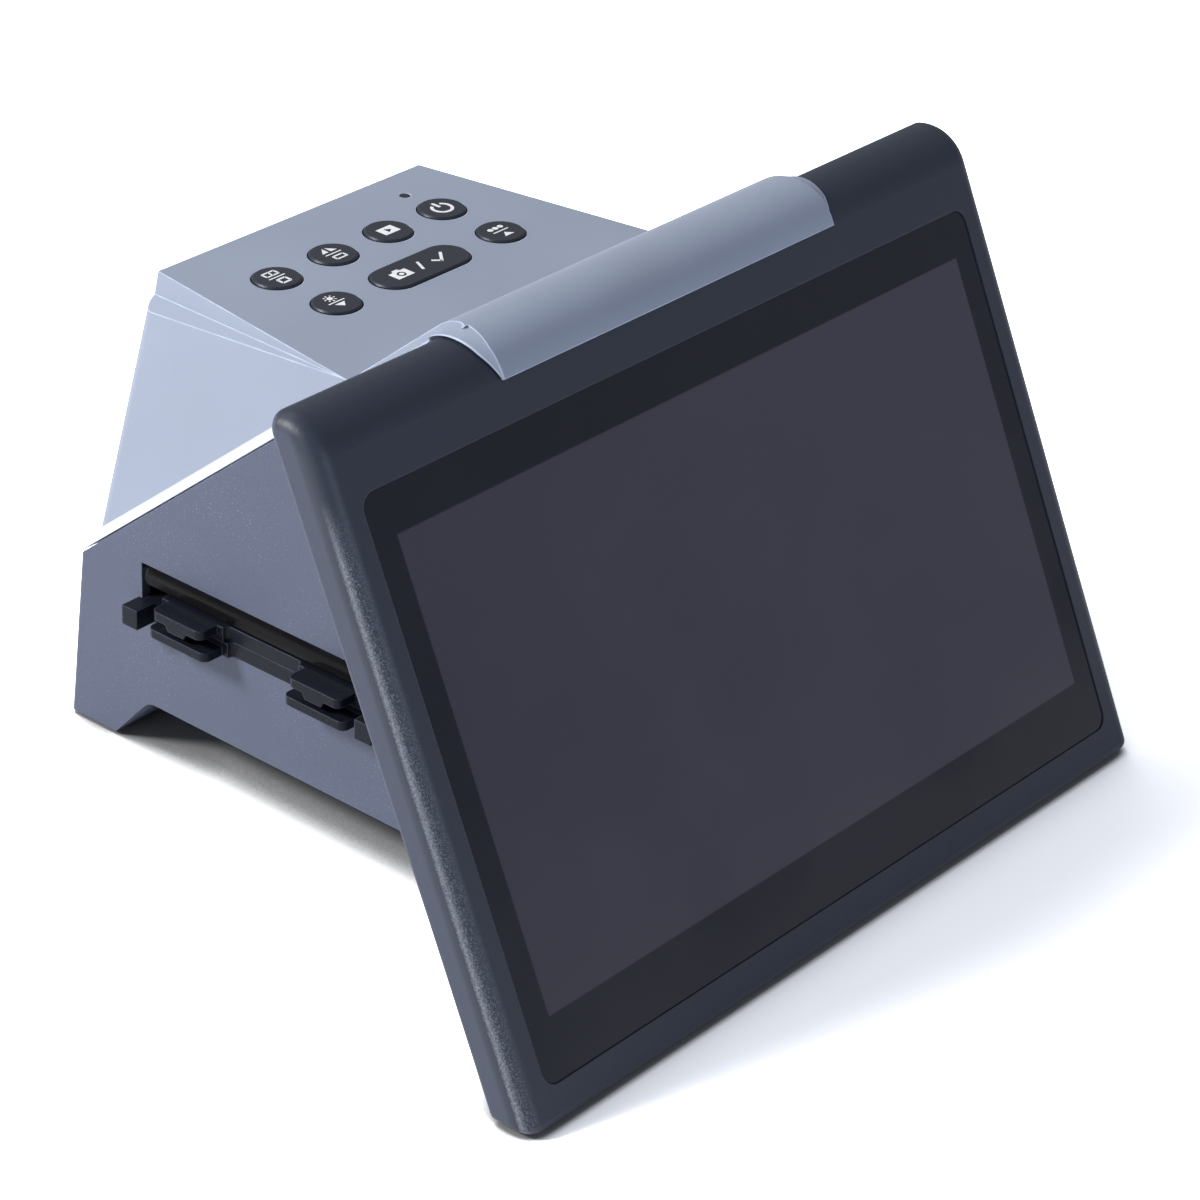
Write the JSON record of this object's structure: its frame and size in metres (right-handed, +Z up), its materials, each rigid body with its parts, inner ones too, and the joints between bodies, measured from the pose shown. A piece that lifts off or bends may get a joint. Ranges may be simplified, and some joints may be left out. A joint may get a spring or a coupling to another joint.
{
  "type": "film negative scanner",
  "caption": "Standalone film negative scanner: wedge body with arched base, tilting wide display under a fixed hood, key rows and a film holder through side slots.",
  "frame": {"origin": "on the floor under the middle of the object's bounding box at rest", "axes": "+Z up, +X to the viewer's right when facing the display, -Y towards the viewer"},
  "size_m": [0.1774, 0.1596, 0.1175],
  "materials": {
    "cover_plastic": "satin silver-blue moulding",
    "base_plastic": "fine speckled slate moulding",
    "screen_plastic": "smooth slate moulding with a dark rim",
    "screen_glass": "dark gloss",
    "display": "matte black display",
    "board": "green circuit board",
    "steel": "zinc plated",
    "button": "gloss black",
    "rubber": "matt black",
    "holder_plastic": "dark grey moulding",
    "flap_plastic": "gloss black",
    "white_plastic": "opal white",
    "black_plastic": "matt black",
    "lens_glass": "coated optical glass",
    "sensor": "dark mirror-like",
    "light_pipe": "clear plastic"
  },
  "bodies": {
    "scanner_body": {"top_cover": "cover_plastic", "base_shell": "base_plastic", "bottom_cover": "base_plastic", "rubber_feet": "rubber", "case_screws": "steel", "hinge_body_leaves": "steel", "hinge_pins": "steel", "hinge_screws": "steel", "button_board": "board", "tact_switches": "black_plastic", "button_board_screws": "steel", "status_light": "light_pipe", "film_guide": "black_plastic", "light_frame": "white_plastic", "light_panel": "board", "diffuser": "white_plastic", "camera_bracket": "black_plastic", "lens_barrel": "black_plastic", "lens_glass": "lens_glass", "sensor_board": "board", "image_sensor": "sensor", "main_board": "board", "board_screws": "steel", "usb_socket": "steel", "hdmi_socket": "steel", "sd_card_socket": "steel"},
    "tilting_screen": {"screen_front_frame": "screen_plastic", "screen_rear_cover": "screen_plastic", "screen_glass": "screen_glass", "lcd_panel": "display", "lcd_board": "board", "screen_screws": "steel", "hinge_screen_leaves": "steel", "leaf_rivets": "steel"},
    "film_holder": {"holder_lower_frame": "holder_plastic", "holder_upper_frame": "holder_plastic", "holder_pins": "steel"},
    "left_dust_flap": {"left_flap": "flap_plastic"},
    "right_dust_flap": {"right_flap": "flap_plastic"},
    "film_type_key": {"film_type_button": "button"},
    "mirror_key": {"mirror_button": "button"},
    "playback_key": {"playback_button": "button"},
    "power_key": {"power_button": "button"},
    "brightness_key": {"brightness_button": "button"},
    "colour_key": {"colour_button": "button"},
    "capture_key": {"capture_button": "button"}
  },
  "joints": [
    {"name": "screen_tilt", "type": "hinge", "parent": "scanner_body", "child": "tilting_screen", "pos_m": [0, -0.02305, 0.10437], "axis": [-1, 0, 0], "range_deg": [0, 30]},
    {"name": "film_holder_slide", "type": "slide", "parent": "scanner_body", "child": "film_holder", "axis": [1, 0, 0], "range_m": [-0.038, 0.038]},
    {"name": "left_flap_swing", "type": "hinge", "parent": "scanner_body", "child": "left_dust_flap", "pos_m": [-0.044, 0.0256, 0.0405], "axis": [0, 1, 0], "range_deg": [0, 60], "stiffness_Nm_per_rad": 0.01},
    {"name": "right_flap_swing", "type": "hinge", "parent": "scanner_body", "child": "right_dust_flap", "pos_m": [0.044, 0.0256, 0.0405], "axis": [0, -1, 0], "range_deg": [0, 60], "stiffness_Nm_per_rad": 0.01},
    {"name": "film_type_press", "type": "slide", "parent": "scanner_body", "child": "film_type_key", "axis": [0, 0, -1], "range_m": [0, 0.0006], "stiffness_N_per_m": 600},
    {"name": "mirror_press", "type": "slide", "parent": "scanner_body", "child": "mirror_key", "axis": [0, 0, -1], "range_m": [0, 0.0006], "stiffness_N_per_m": 600},
    {"name": "playback_press", "type": "slide", "parent": "scanner_body", "child": "playback_key", "axis": [0, 0, -1], "range_m": [0, 0.0006], "stiffness_N_per_m": 600},
    {"name": "power_press", "type": "slide", "parent": "scanner_body", "child": "power_key", "axis": [0, 0, -1], "range_m": [0, 0.0006], "stiffness_N_per_m": 600},
    {"name": "brightness_press", "type": "slide", "parent": "scanner_body", "child": "brightness_key", "axis": [0, 0, -1], "range_m": [0, 0.0006], "stiffness_N_per_m": 600},
    {"name": "colour_press", "type": "slide", "parent": "scanner_body", "child": "colour_key", "axis": [0, 0, -1], "range_m": [0, 0.0006], "stiffness_N_per_m": 600},
    {"name": "capture_press", "type": "slide", "parent": "scanner_body", "child": "capture_key", "axis": [0, 0, -1], "range_m": [0, 0.0006], "stiffness_N_per_m": 600}
  ]
}
